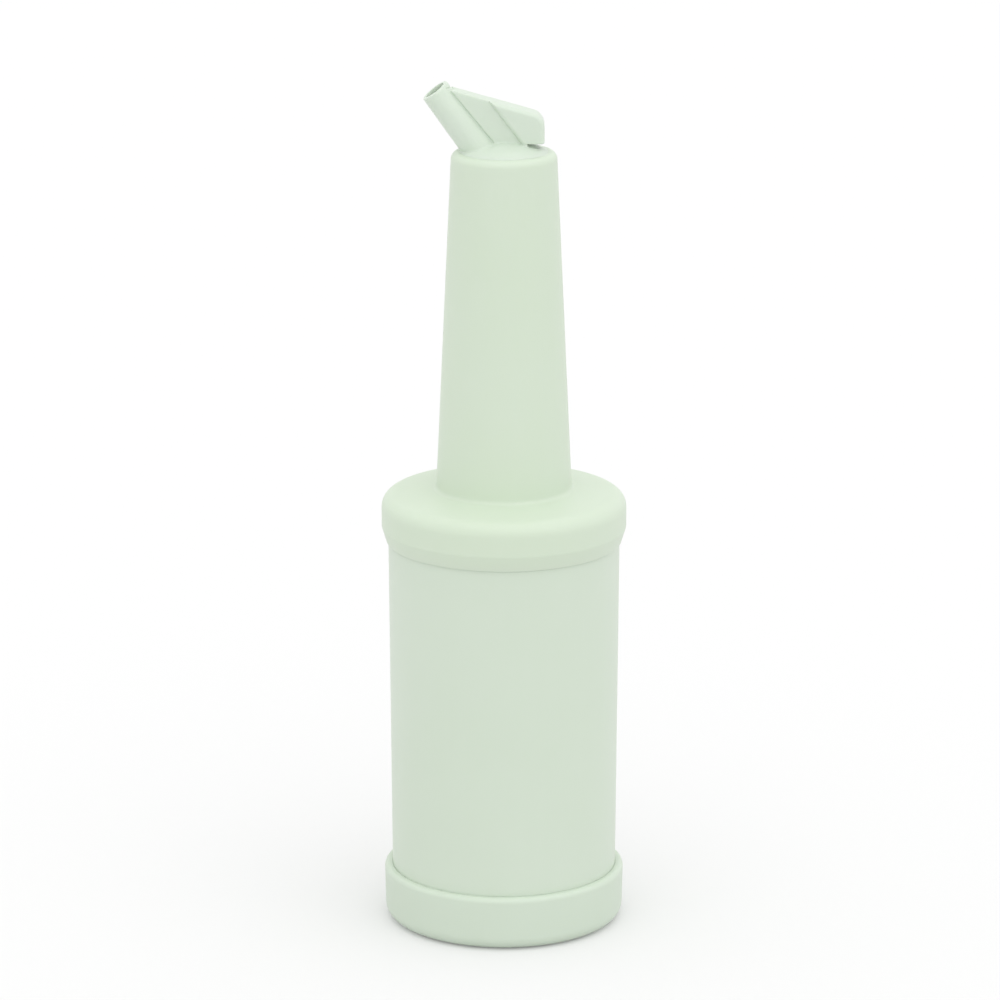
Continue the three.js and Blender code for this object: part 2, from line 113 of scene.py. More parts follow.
def turned(name, outline, relief=None):
    """A surface of revolution: at each angle round the axis a profile point lies at its radius and height.
    The relief, a function of radius, angle and height, is added to the radius. A row on the axis is one
    point, and a profile that ends where it starts shares that row."""
    angle = np.arange(SIDES) * FULL_TURN / SIDES
    radius, height = outline[:, :1], outline[:, 1:]
    swept = radius + relief(radius, angle, height) if relief else radius
    surface = np.broadcast_arrays(swept * np.cos(angle), swept * np.sin(angle), height)
    points = np.stack(surface, axis=-1).reshape(-1, 3)
    number = np.arange(len(points)).reshape(len(outline), SIDES)
    on_axis = outline[:, 0] == 0
    number[on_axis] = number[on_axis, :1]
    if np.allclose(outline[0], outline[-1]):
        number[-1] = number[0]
    low, high = number[:-1], number[1:]
    faces = np.stack([low, np.roll(low, -1, axis=1), np.roll(high, -1, axis=1), high], axis=-1)
    used, faces = np.unique(faces.reshape(-1, 4), return_inverse=True)
    faces = faces.reshape(-1, 4)
    from_point = faces[:, 0] == faces[:, 1]
    to_point = faces[:, 2] == faces[:, 3]
    fans = faces[from_point][:, 1:].tolist() + faces[to_point][:, :3].tolist()
    return add_piece(name, points[used], faces[~from_point & ~to_point].tolist() + fans)


THREAD_LEAD = 6  # height of one turn
THREAD_WIDTH = 2.4  # of the ridge at its foot
THREAD_FLANK = 0.8  # how much of that width each sloping side takes
THREAD_RUN_OUT = 0.09  # share of a turn in which the ridge rises at its ends


def ease(share):
    """0 up to nought, 1 from one on, and share squared times (3 - 2 share) in between."""
    share = np.clip(share, 0, 1)
    return share * share * (3 - 2 * share)


def ridge(angle, height, start, first, last):
    """How much of a right-hand thread's ridge there is, from 0 to 1. Its middle climbs one lead a turn from
    the start height at angle nought, and it runs from the first turn to the last."""
    climb = height - start - THREAD_LEAD * angle / FULL_TURN
    turn = np.round(climb / THREAD_LEAD)
    away = np.abs(climb - turn * THREAD_LEAD)
    along = turn + angle / FULL_TURN
    ends = ease((along - first) / THREAD_RUN_OUT) * ease((last - along) / THREAD_RUN_OUT)
    return ends * ease((THREAD_WIDTH / 2 - away) / THREAD_FLANK)


class Wire:
    """A socket of a material that can be reckoned with: sums and products on it add Math nodes."""

    def __init__(self, socket):
        self.socket = socket
        self.tree = socket.id_data

    def node(self, kind, settings, sockets, output=0):
        """A new node: its settings are made first, then its sockets get their values or links."""
        made = self.tree.nodes.new(kind)
        for key, value in settings.items():
            setattr(made, key, value)
        for key, value in sockets.items():
            if isinstance(value, Wire):
                self.tree.links.new(value.socket, made.inputs[key])
            else:
                made.inputs[key].default_value = value
        return Wire(made.outputs[output])

    def into(self, socket):
        """Links this value to a socket."""
        self.tree.links.new(self.socket, socket)

    def noise(self, scale, detail):
        """Cloudy values between 0 and 1 over this place."""
        return self.node("ShaderNodeTexNoise", {}, {"Vector": self, "Scale": scale, "Detail": detail})

    def blend(self, first, second):
        """The colour that lies this share of the way from the first to the second. A Mix node has its colours
        on sockets 6 and 7, and gives theirs on output 2."""
        return self.node("ShaderNodeMix", {"data_type": "RGBA"}, {0: self, 6: first, 7: second}, output=2)

    def bump(self, strength, depth):
        """The normals of a surface that this value raises, by up to the depth in metres."""
        return self.node("ShaderNodeBump", {}, {"Strength": strength, "Distance": depth, "Height": self})

    def math(self, operation, first, second):
        """A Math node on two values."""
        return self.node("ShaderNodeMath", {"operation": operation}, {0: first, 1: second})

    def __add__(self, other):
        return self.math("ADD", self, other)

    def __radd__(self, other):
        return self.math("ADD", other, self)

    def __sub__(self, other):
        return self.math("SUBTRACT", self, other)

    def __rsub__(self, other):
        return self.math("SUBTRACT", other, self)

    def __mul__(self, other):
        return self.math("MULTIPLY", self, other)

    def __rmul__(self, other):
        return self.math("MULTIPLY", other, self)


def new_finish(name):
    """A material with its shader, and the place on the piece as a value to reckon with."""
    finish = bpy.data.materials.new(name)
    finish.use_nodes = True
    shader = finish.node_tree.nodes["Principled BSDF"]
    place = Wire(finish.node_tree.nodes.new("ShaderNodeTexCoord").outputs["Object"])
    return finish, shader, place


CLOUD_SCALE = 16  # this scale and the next ones are to a metre
STREAK_SCALE = 180
STREAK_STRETCH = 0.12  # scale of the streaks along the height, as a share of that across it
WEAR_SCALE = 65
PEEL_SCALE = 260
GRAIN_SCALE = 2600
CLOUD_CONTRAST = 1.5
STREAK_CONTRAST = 0.3
TINT_DROP = 0.4  # brings the mean of clouds and streaks down, to about half tint
WEAR = 0.12  # span of the roughness
GRAIN_SHARE = 0.35  # of the bump's height, and peel is the rest
MOULD_STRENGTH = 0.25
MOULD_DEPTH = 0.00006  # metres
PLASTIC_IOR = 1.5
MILKINESS = 0.25  # share of the light that enters the plastic
MILK_REACH = 0.002  # how far it spreads there, in metres
MILK_COLOUR = (1, 1, 0.9)


def moulded_plastic(name, shade, tint, roughness):
    """Satin polyethylene: a shade clouded by a paler tint, faint streaks where the melt ran up the mould, a
    roughness that handling has made uneven, and the mould's peel and fine grain as bump."""
    finish, shader, place = new_finish(name)
    upright = place.node("ShaderNodeMapping", {}, {"Vector": place, "Scale": (1, 1, STREAK_STRETCH)})
    cloud = place.noise(CLOUD_SCALE, detail=2)
    streak = upright.noise(STREAK_SCALE, detail=3)
    handled = place.noise(WEAR_SCALE, detail=6)
    peel = place.noise(PEEL_SCALE, detail=1)
    grain = place.noise(GRAIN_SCALE, detail=1)
    share = cloud * CLOUD_CONTRAST + streak * STREAK_CONTRAST - TINT_DROP
    share.blend(shade, tint).into(shader.inputs["Base Color"])
    (roughness - WEAR / 2 + handled * WEAR).into(shader.inputs["Roughness"])
    height = grain * GRAIN_SHARE + peel * (1 - GRAIN_SHARE)
    height.bump(MOULD_STRENGTH, MOULD_DEPTH).into(shader.inputs["Normal"])
    shader.inputs["IOR"].default_value = PLASTIC_IOR
    shader.inputs["Subsurface Weight"].default_value = MILKINESS
    shader.inputs["Subsurface Radius"].default_value = MILK_COLOUR
    shader.inputs["Subsurface Scale"].default_value = MILK_REACH
    return finish


CAP_WALL = 2.3
CAP_DRAFT = 0.5  # how much narrower the wall would be at the table than at its rim
CAP_FLOOR_TOP = 3
CAP_FLOOR_BEND = 0.8
CAP_FOOT_BEND = 5
CAP_RIM_BEND = 1.9
CAP_LIP = 42.95  # radius of the thin lip inside the rim that grips the jar's foot
CAP_LIP_DEPTH = 1.3
CAP_PANEL_DEPTH = 0.8  # of the panel that its standing ring goes round
CAP_STANDING_WIDTH = 6.8  # of that ring
CAP_THREAD_START = 8.5  # height of the ridge's middle at angle nought
CAP_THREAD_TURNS = 1.25
CAP_THREAD_RISE = 0.55  # low enough to clear the jar's foot
CAP_STEP = 0.6  # between two rows
SOFT_EDGE = 0.3  # bend of an edge that looks sharp
CAP_SHADE = (0.62, 0.71, 0.59, 1)
CAP_TINT = (0.645, 0.735, 0.625, 1)
CAP_ROUGHNESS = 0.44

_, cap_top = extent("storage_cap")
cap_bore = cap_top[0] - CAP_WALL
cap_foot = cap_top[0] - CAP_DRAFT
panel = cap_foot - CAP_FOOT_BEND - CAP_STANDING_WIDTH


def cap_thread(radius, angle, height):
    """A ridge of one turn and a quarter that stands in from the bore."""
    inside = np.abs(radius - cap_bore) < SOFT_EDGE
    return -CAP_THREAD_RISE * inside * ridge(angle, height, CAP_THREAD_START, first=0, last=CAP_THREAD_TURNS)


cap_outline = profile(
    [
        (0, CAP_PANEL_DEPTH, 0),
        (panel - CAP_PANEL_DEPTH, CAP_PANEL_DEPTH, SOFT_EDGE),
        (panel, 0, SOFT_EDGE),
        (cap_foot, 0, CAP_FOOT_BEND),
        (cap_top[0], cap_top[2], CAP_RIM_BEND),
        (CAP_LIP, cap_top[2], SOFT_EDGE),
        (CAP_LIP, cap_top[2] - CAP_LIP_DEPTH, SOFT_EDGE),
        (cap_bore, cap_top[2] - 2 * CAP_LIP_DEPTH, SOFT_EDGE),
        (cap_bore, CAP_FLOOR_TOP, CAP_FLOOR_BEND),
        (0, CAP_FLOOR_TOP, 0),
    ],
    step=CAP_STEP,
)
cap = turned("moulded_cap", cap_outline, cap_thread)
cap.data.materials.append(moulded_plastic("cap_plastic", CAP_SHADE, CAP_TINT, CAP_ROUGHNESS))
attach(cap, "cap")
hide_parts("storage_cap")


# Cap liner
# A disc punched from off-white closed-cell foam. It lies loose on the cap's floor, and seals the jar's lip
# when the cap is screwed on top.
FOAM_CELL_SCALE = 1400
FOAM_CLOUD_SCALE = 40
FOAM_DIMPLE_STRENGTH = 0.5
FOAM_DIMPLE_DEPTH = 0.0001  # metres
FOAM_ROUGHNESS = 0.9
LINER_SHADE = (0.8, 0.81, 0.75, 1)
LINER_CELL_SHADE = (0.74, 0.76, 0.7, 1)

liner_low, liner_high = extent("cap_liner")
liner_outline = profile(
    [
        (0, liner_low[2], 0),
        (liner_high[0], liner_low[2], SOFT_EDGE),
        (liner_high[0], liner_high[2], SOFT_EDGE),
        (0, liner_high[2], 0),
    ]
)
liner = turned("foam_liner", liner_outline)


def closed_cell_foam(name, shade, cell_shade):
    """Foam with small cells: round dimples in bump and in colour, and a dull surface."""
    finish, shader, place = new_finish(name)
    cells = place.node("ShaderNodeTexVoronoi", {"feature": "F1"}, {"Vector": place, "Scale": FOAM_CELL_SCALE})
    cloud = place.noise(FOAM_CLOUD_SCALE, detail=4)
    mean = cells * 0.5 + cloud * 0.5
    mean.blend(cell_shade, shade).into(shader.inputs["Base Color"])
    cells.bump(FOAM_DIMPLE_STRENGTH, FOAM_DIMPLE_DEPTH).into(shader.inputs["Normal"])
    shader.inputs["Roughness"].default_value = FOAM_ROUGHNESS
    return finish


liner.data.materials.append(closed_cell_foam("liner_foam", LINER_SHADE, LINER_CELL_SHADE))
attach(liner, "cap")
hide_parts("cap_liner")


# Jar
# The storage jar, moulded in one piece with a slight taper to its foot, a push-up in its base, and a narrower
# threaded mouth above a sloping ledge. The neck or the cap screws on that thread.
JAR_WALL = 1.9
JAR_TAPER = 1.2
JAR_FLOOR = 2.4
JAR_FOOT_BEND = 5
JAR_PUSH_UP = 2.5
PUSH_UP_CROWN = 0.9  # share of the push-up's height half way out from its middle
PUSH_UP_BEND = 40
PUSH_UP_EDGE = 4  # bend where it meets the standing ring
JAR_STANDING_WIDTH = 8.4
JAR_SHOULDER_HEIGHT = 146.5  # from its base to the ledge
LEDGE_WIDTH = 1.6
LEDGE_HEIGHT = 1.8
LEDGE_BEND = 1  # inside
MOUTH_WALL = 2.3
LIP_BEND = 0.7
THREAD_STEP = 0.3  # between two rows that carry a thread
JAR_THREAD_DROP = 9.4  # from the lip to the ridge's middle at angle nought
JAR_THREAD_TURNS = 1.25
JAR_THREAD_RISE = 1.1
JAR_SHADE = (0.635, 0.725, 0.605, 1)
JAR_TINT = (0.66, 0.745, 0.635, 1)
JAR_ROUGHNESS = 0.42

jar_low, jar_high = extent("jar")
jar_base, lip = jar_low[2], jar_high[2]
jar_radius = jar_high[0]
jar_foot = jar_radius - JAR_TAPER
jar_floor = jar_base + JAR_FLOOR
ledge_height = jar_base + JAR_SHOULDER_HEIGHT
mouth = jar_radius - LEDGE_WIDTH
push_up = jar_foot - JAR_FOOT_BEND - JAR_STANDING_WIDTH


def jar_thread(radius, angle, height):
    """A ridge of one turn and a quarter round the outside of the mouth."""
    outside = np.abs(radius - mouth) < SOFT_EDGE
    start = lip - JAR_THREAD_DROP
    return JAR_THREAD_RISE * outside * ridge(angle, height, start, first=0, last=JAR_THREAD_TURNS)


def with_thread_rows(outline, by_thread):
    """The outline with more rows put in from the first point by the thread to the last."""
    first, last = np.flatnonzero(by_thread)[[0, -1]]
    return np.concatenate([outline[:first], refined(outline[first:last], THREAD_STEP), outline[last:]])


jar_outline = profile(
    [
        (0, jar_base + JAR_PUSH_UP, 0),
        (push_up / 2, jar_base + JAR_PUSH_UP * PUSH_UP_CROWN, PUSH_UP_BEND),
        (push_up, jar_base, PUSH_UP_EDGE),
        (jar_foot, jar_base, JAR_FOOT_BEND),
        (jar_radius, ledge_height, SOFT_EDGE),
        (mouth, ledge_height + LEDGE_HEIGHT, SOFT_EDGE),
        (mouth, lip, LIP_BEND),
        (mouth - MOUTH_WALL, lip, LIP_BEND),
        (mouth - MOUTH_WALL, ledge_height, LEDGE_BEND),
        (jar_radius - JAR_WALL, ledge_height - LEDGE_HEIGHT, LEDGE_BEND),
        (jar_foot - JAR_WALL, jar_floor, JAR_FOOT_BEND - JAR_WALL),
        (push_up, jar_floor, PUSH_UP_EDGE),
        (push_up / 2, jar_floor + JAR_PUSH_UP * PUSH_UP_CROWN, PUSH_UP_BEND),
        (0, jar_floor + JAR_PUSH_UP, 0),
    ]
)
on_mouth = (jar_outline[:, 1] > ledge_height) & (jar_outline[:, 0] > mouth - SOFT_EDGE)
jar = turned("jar_body", with_thread_rows(jar_outline, on_mouth), jar_thread)
jar.data.materials.append(moulded_plastic("jar_plastic", JAR_SHADE, JAR_TINT, JAR_ROUGHNESS))
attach(jar, "jar")
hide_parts("jar")


# Neck seal
# A flat ring of soft off-white rubber that lies in the recess under the neck's ceiling. The neck's thread
# squeezes it on the jar's lip.
NECK_SEAL_WIDTH = 4.8
NECK_SEAL_BEND = 0.4
SPECK_SCALE = 900
SPECK_SHARE = 0.6  # of the colour's changes, and clouds are the rest
SPECK_STRENGTH = 0.3
SPECK_DEPTH = 0.00005  # metres
RUBBER_CLOUD_SCALE = 90
RUBBER_ROUGHNESS = 0.5  # where it is least
RUBBER_WEAR = 0.2  # span of the roughness
RUBBER_SHADE = (0.74, 0.76, 0.7, 1)
RUBBER_DUST = (0.79, 0.8, 0.76, 1)


def ring_profile(low, high, width, bend):
    """The outline of a flat-sided ring: its outside and its heights come from its box, and its four corners
    are softened."""
    outside = high[0]
    inside = outside - width
    return profile(
        [
            (inside, low[2], bend),
            (outside, low[2], bend),
            (outside, high[2], bend),
            (inside, high[2], bend),
        ],
        ring=True,
    )


def seal_rubber(name, shade, dust):
    """Moulded rubber: a dull, slightly speckled surface."""
    finish, shader, place = new_finish(name)
    speck = place.noise(SPECK_SCALE, detail=3)
    cloud = place.noise(RUBBER_CLOUD_SCALE, detail=3)
    share = speck * SPECK_SHARE + cloud * (1 - SPECK_SHARE)
    share.blend(shade, dust).into(shader.inputs["Base Color"])
    (RUBBER_ROUGHNESS + cloud * RUBBER_WEAR).into(shader.inputs["Roughness"])
    speck.bump(SPECK_STRENGTH, SPECK_DEPTH).into(shader.inputs["Normal"])
    return finish


neck_seal = turned("neck_seal_ring", ring_profile(*extent("neck_seal"), NECK_SEAL_WIDTH, NECK_SEAL_BEND))
rubber = seal_rubber("seal_rubber", RUBBER_SHADE, RUBBER_DUST)
neck_seal.data.materials.append(rubber)
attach(neck_seal, "neck_seal")
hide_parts("neck_seal")


# Neck
# Skirt, shoulder and tapering funnel in one moulding. The skirt screws down over the jar's mouth, and the
# funnel's rim turns in and hangs down inside as the spout's socket.
SKIRT_WALL = 2.2
SKIRT_BEVEL = 5.8  # height of the bevel under the skirt
SKIRT_BEVEL_BEND = 3
SKIRT_RIM_WALL = 0.4
SKIRT_RIM_BEND = 0.15
SKIRT_LIP = 0.05  # gap to the jar that the skirt's rim closes in to
SKIRT_LIP_HEIGHT = 1.2
SKIRT_LIP_BEND = 0.1
CEILING = 16.6  # from the skirt's rim up to the ceiling inside
RECESS_DEPTH = 3.2
RECESS_RADIUS = 43
RECESS_BEND = 1
SHOULDER = 18.1  # from the skirt's rim up to where the shoulder's slope would leave the skirt
SHOULDER_BEND = 5.5
SHOULDER_RISE = 2.4
FUNNEL_FOOT = 25.7  # radius outside, where the funnel leaves the shoulder
FUNNEL_TOP = 19.8
FUNNEL_WALL = 2
FUNNEL_FILLET = 2
RIM_BEND = 2.9
SOCKET = 14.1  # radius inside
SOCKET_WALL = 1.8
SOCKET_DEPTH = 13
SOCKET_BEND = 0.4
NECK_THREAD_FIRST = 0.4  # turns at which it starts and ends
NECK_THREAD_LAST = 1.3
NECK_THREAD_RISE = 1.7
NECK_STEP = 1.5  # between two rows
NECK_SHADE = (0.64, 0.74, 0.59, 1)
NECK_TINT = (0.66, 0.75, 0.625, 1)
NECK_ROUGHNESS = 0.42

neck_low, neck_high = extent("neck")
skirt_rim, neck_rim = neck_low[2], neck_high[2]
skirt = neck_high[0]
skirt_bore = skirt - SKIRT_WALL
ceiling = skirt_rim + CEILING
shoulder = skirt_rim + SHOULDER


def neck_thread(radius, angle, height):
    """A ridge inside the skirt, half a lead below the jar's, so that the two stay in mesh as the neck
    turns."""
    inside = np.abs(radius - skirt_bore) < SOFT_EDGE
    start = lip - JAR_THREAD_DROP - THREAD_LEAD / 2
    return -NECK_THREAD_RISE * inside * ridge(angle, height, start, NECK_THREAD_FIRST, NECK_THREAD_LAST)


neck_outline = profile(
    [
        (jar_radius + SKIRT_LIP, skirt_rim, SKIRT_LIP_BEND),
        (skirt_bore + SKIRT_RIM_WALL, skirt_rim, SKIRT_RIM_BEND),
        (skirt, skirt_rim + SKIRT_BEVEL, SKIRT_BEVEL_BEND),
        (skirt, shoulder, SHOULDER_BEND),
        (FUNNEL_FOOT, shoulder + SHOULDER_RISE, FUNNEL_FILLET),
        (FUNNEL_TOP, neck_rim, RIM_BEND),
        (SOCKET, neck_rim, SOCKET_BEND),
        (SOCKET, neck_rim - SOCKET_DEPTH, SOCKET_BEND),
        (SOCKET + SOCKET_WALL, neck_rim - SOCKET_DEPTH, SOCKET_BEND),
        (SOCKET + SOCKET_WALL, neck_rim - FUNNEL_WALL, SOCKET_BEND),
        (FUNNEL_TOP - FUNNEL_WALL, neck_rim - FUNNEL_WALL, RIM_BEND - FUNNEL_WALL),
        (FUNNEL_FOOT - FUNNEL_WALL, ceiling, FUNNEL_FILLET),
        (RECESS_RADIUS, ceiling, RECESS_BEND),
        (RECESS_RADIUS, ceiling - RECESS_DEPTH, SOFT_EDGE),
        (skirt_bore, ceiling - RECESS_DEPTH - (skirt_bore - RECESS_RADIUS), SOFT_EDGE),
        (skirt_bore, skirt_rim + SKIRT_LIP_HEIGHT, SKIRT_LIP_BEND),
    ],
    ring=True,
    step=NECK_STEP,
)
in_skirt = (neck_outline[:, 1] > skirt_rim + SKIRT_LIP_HEIGHT) & (neck_outline[:, 1] < ceiling)
on_bore = in_skirt & (np.abs(neck_outline[:, 0] - skirt_bore) < SOFT_EDGE)
neck = turned("funnel_neck", with_thread_rows(neck_outline, on_bore), neck_thread)
neck.data.materials.append(moulded_plastic("neck_plastic", NECK_SHADE, NECK_TINT, NECK_ROUGHNESS))
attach(neck, "neck")
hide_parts("neck")


# Spout seal
# A ring of the same rubber as the neck's seal. It sits in the groove round the spout's plug, where it grips
# the neck's socket.
SPOUT_SEAL_SECTION = 1.05
SPOUT_SEAL_BEND = 0.35

spout_seal_outline = ring_profile(*extent("spout_seal"), SPOUT_SEAL_SECTION, SPOUT_SEAL_BEND)
spout_seal = turned("spout_seal_ring", spout_seal_outline)
spout_seal.data.materials.append(rubber)
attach(spout_seal, "spout_seal")
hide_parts("spout_seal")


# Spout
# One moulding of the same plastic as the neck, into which it plugs: a hollow plug, a flange, a low dome, an
# oval pouring tube that leans, the vent's hood behind it, and a narrower web between them. No single sheet
# gives their filleted creases, so the surface is where a distance worked out all over space is nil.
CELL = 0.355  # of the grid for that distance, chosen so that every edge of the mesh has two faces
CELL_MARGIN = 0.01  # that a point keeps from its cell's sides
GRID_MARGIN = 2 * CELL  # how far the grid goes past the spout
SLOPE_STEP = CELL / 20  # how far off the slope is taken
LEAST_SLOPE = 0.25  # squared, in moving a point to the surface
SETTLING_ROUNDS = 3
EDGE_ANGLE = np.radians(40)

PLUG_RADIUS = 13.8
PLUG_LENGTH = 16
PLUG_WALL = 2.2
PLUG_CHAMFER = 0.9
GROOVE_RADIUS = 12.75
GROOVE_MIDDLE = -6.5  # heights of the spout are from the flange's base
GROOVE_HEIGHT = 3
FLANGE_THICKNESS = 0.6
FLANGE_SINK = 0.45  # how far its thin edge comes down, pressed into the neck's rim
DOME_HEIGHT = 3.2
DOME_WALL = 1.6

POUR_TILT = np.radians(37)
POUR_SETBACK = 0.5
POUR_LENGTH = 28.9
POUR_FOOT = (12.8, 15.6)  # width and breadth outside, at the flange
POUR_MOUTH = (10.9, 13.3)
POUR_WALL = 1.5
POUR_HEEL = 2  # below this height the tube's bore keeps within the plug's
ROOF_TILT = np.radians(16)
ROOF_DROP = 3.3  # from the mouth down the tube's rear face to the roof
WEB_WIDTH = 7.6
WEB_BREADTH = 7.6
HOOD_BREADTH = 10.6
HOOD_SETBACK = 1.9  # from the flange's edge in to its rear wall
HOOD_WALL = 1.2
HOOD_EDGE = 1.6
HOOD_CORNER = 4
NOTCH_HEIGHT = 3.4
NOTCH_DEPTH = 6.5
AIR_SLOT_WIDTH = 7.2
AIR_SLOT_DEPTH = 1.6
CREASE = 0.25  # fillet between the tube, the web and the hood
DOME_CREASE = 0.7  # fillet where they stand on the dome
SEAM_GROOVE = 0.4  # radius of the groove along the tube, where the web leaves it
MOULD_EDGE = 0.5  # bend of the spout's outer edges
SPOUT_SHADE = (0.65, 0.745, 0.625, 1)
SPOUT_TINT = (0.67, 0.755, 0.655, 1)
SPOUT_ROUGHNESS = 0.4

spout_low, spout_high = extent("spout")
flange = spout_high[0]
flange_base = spout_low[2] + PLUG_LENGTH
pour_foot = POUR_SETBACK - flange + POUR_FOOT[0] / 2 / np.cos(POUR_TILT)
hood_front = POUR_FOOT[0] / 2 + WEB_WIDTH
hood_rear = flange - HOOD_SETBACK


def both(first, second, bend):
    """Where two solids overlap: the larger of their distances, with a convex edge of this bend."""
    over = np.hypot(np.maximum(first + bend, 0), np.maximum(second + bend, 0))
    return np.minimum(np.maximum(first, second), -bend) + over


def either(first, second, bend):
    """Two solids as one: the smaller of their distances, with a fillet of this bend in the corner."""
    short = np.hypot(np.maximum(bend - first, 0), np.maximum(bend - second, 0))
    return np.maximum(np.minimum(first, second), bend) - short


def cap_of_sphere(x, y, z, base, width, height):
    """Distance from a sphere that has this radius at the base's height, and its top this far above that."""
    ball = (width * width + height * height) / (2 * height)
    return np.sqrt(x * x + y * y + (z - base - height + ball) ** 2) - ball


def tube_frame(x, z):
    """How far a point is up the pouring tube's axis, and how far beside it towards the hood."""
    up = np.cos(POUR_TILT) * z - np.sin(POUR_TILT) * (x - pour_foot)
    side = np.cos(POUR_TILT) * (x - pour_foot) + np.sin(POUR_TILT) * z
    return up, side


def oval(up, side, y, wall):
    """Distance from a tapering oval tube: with q the length of (side / half width, y / half breadth), it is
    q (q - 1) over half the steepness of q squared."""
    share = up / POUR_LENGTH
    width = POUR_FOOT[0] / 2 + share * (POUR_MOUTH[0] - POUR_FOOT[0]) / 2 - wall
    breadth = POUR_FOOT[1] / 2 + share * (POUR_MOUTH[1] - POUR_FOOT[1]) / 2 - wall
    q = np.hypot(side / width, y / breadth)
    return q * (q - 1) / np.maximum(np.hypot(side / width**2, y / breadth**2), TINY)


roof_up, roof_side = POUR_LENGTH - ROOF_DROP, POUR_MOUTH[0] / 2
roof_x = pour_foot - np.sin(POUR_TILT) * roof_up + np.cos(POUR_TILT) * roof_side
roof_z = np.cos(POUR_TILT) * roof_up + np.sin(POUR_TILT) * roof_side


def above_roof(x, z):
    """Height above the roof's plane, which falls away from the tube's rear face."""
    return np.sin(ROOF_TILT) * (x - roof_x) + np.cos(ROOF_TILT) * (z - roof_z)


def plug_and_dome(x, y, z):
    """The turned part: plug with its groove, and the dome that runs out into the flange's thin edge."""
    radius = np.hypot(x, y)
    plug_ends = np.maximum(-PLUG_LENGTH - z, z - FLANGE_THICKNESS)
    plug = both(radius - PLUG_RADIUS, plug_ends, PLUG_CHAMFER)
    groove = np.maximum(GROOVE_RADIUS - radius, np.abs(z - GROOVE_MIDDLE) - GROOVE_HEIGHT / 2)
    crown_height = FLANGE_SINK + FLANGE_THICKNESS + DOME_HEIGHT
    crown = np.maximum(cap_of_sphere(x, y, z, -FLANGE_SINK, flange, crown_height), -FLANGE_SINK - z)
    return np.minimum(np.maximum(plug, -groove), crown)


def snout(x, y, z):
    """The leaning part: the web and the notched hood under one roof, run together with the oval tube, down to
    the flange."""
    up, side = tube_frame(x, z)
    roof = above_roof(x, z)
    past_mouth = up - POUR_LENGTH
    tube = both(oval(up, side, y, 0), past_mouth, MOULD_EDGE)
    web = np.maximum(POUR_MOUTH[0] / 2 - POUR_WALL - side, side - hood_front - HOOD_WALL)
    web = both(np.maximum(web, np.abs(y) - WEB_BREADTH / 2), roof, MOULD_EDGE)
    hood = both(both(x - hood_rear, roof, HOOD_CORNER), hood_front - side, MOULD_EDGE)
    hood = both(hood, np.abs(y) - HOOD_BREADTH / 2, HOOD_EDGE)
    notch = np.maximum(hood_rear - NOTCH_DEPTH - x, z - NOTCH_HEIGHT)
    hood = both(hood, -notch, MOULD_EDGE)
    roofed = np.maximum(either(web, hood, CREASE), roof)
    seam = np.hypot(tube, roofed) - SEAM_GROOVE
    joined = both(either(tube, roofed, CREASE), -seam, CREASE)
    return np.maximum(np.maximum(joined, past_mouth), -z)


def passages(x, y, z):
    """What is hollow: the plug's bore under the dome, the pouring bore, and the vent's chamber, which the
    web's hollow joins to the dome and a slot over the notch to the air."""
    up, side = tube_frame(x, z)
    bore = PLUG_RADIUS - PLUG_WALL
    under_dome = cap_of_sphere(x, y, z, 0, bore, FLANGE_THICKNESS + DOME_HEIGHT - DOME_WALL)
    in_plug = np.hypot(x, y) - bore
    plug_bore = np.where(z < 0, in_plug, under_dome)
    heel = np.minimum(POUR_HEEL - z, np.maximum(in_plug, -z))
    pour_bore = np.maximum(oval(up, side, y, POUR_WALL), heel)
    under_roof = above_roof(x, z) + HOOD_WALL
    over_notch = NOTCH_HEIGHT + HOOD_WALL
    shelf = np.maximum(hood_rear - NOTCH_DEPTH - HOOD_WALL - x, z - over_notch)
    web_hollow = np.maximum(POUR_FOOT[0] / 2 + HOOD_WALL - side, side - hood_front - 2 * HOOD_WALL)
    web_hollow = np.maximum(np.maximum(web_hollow, under_roof), np.abs(y) - WEB_BREADTH / 2 + HOOD_WALL)
    web_hollow = np.maximum(np.maximum(web_hollow, -shelf), -z)
    hood_hollow = both(x - hood_rear + HOOD_WALL, under_roof, HOOD_CORNER - HOOD_WALL)
    hood_hollow = np.maximum(hood_hollow, hood_front + HOOD_WALL - side)
    hood_hollow = np.maximum(hood_hollow, np.abs(y) - HOOD_BREADTH / 2 + HOOD_WALL)
    hood_hollow = np.maximum(hood_hollow, over_notch - z)
    slot_rear = hood_rear - HOOD_WALL
    slot = np.maximum(slot_rear - AIR_SLOT_DEPTH - x, x - slot_rear)
    slot = np.maximum(slot, np.abs(y) - AIR_SLOT_WIDTH / 2)
    slot = np.maximum(np.maximum(slot, NOTCH_HEIGHT - HOOD_WALL / 2 - z), z - over_notch - HOOD_WALL)
    vent = np.minimum(np.minimum(web_hollow, hood_hollow), slot)
    return np.minimum(np.minimum(plug_bore, pour_bore), vent)


def spout_distance(points):
    """Distance of points from the spout's surface, below nought inside the plastic."""
    x, y, z = np.moveaxis(points - [0, 0, flange_base], -1, 0)
    outside = either(plug_and_dome(x, y, z), snout(x, y, z), DOME_CREASE)
    return both(outside, -passages(x, y, z), MOULD_EDGE / 2)


def slope(distance, points):
    """How a distance changes along each axis, from its values a small way off on both sides."""
    steps = SLOPE_STEP * np.eye(3)
    rise = [distance(points + step) - distance(points - step) for step in steps]
    return np.stack(rise, axis=-1) / (2 * SLOPE_STEP)


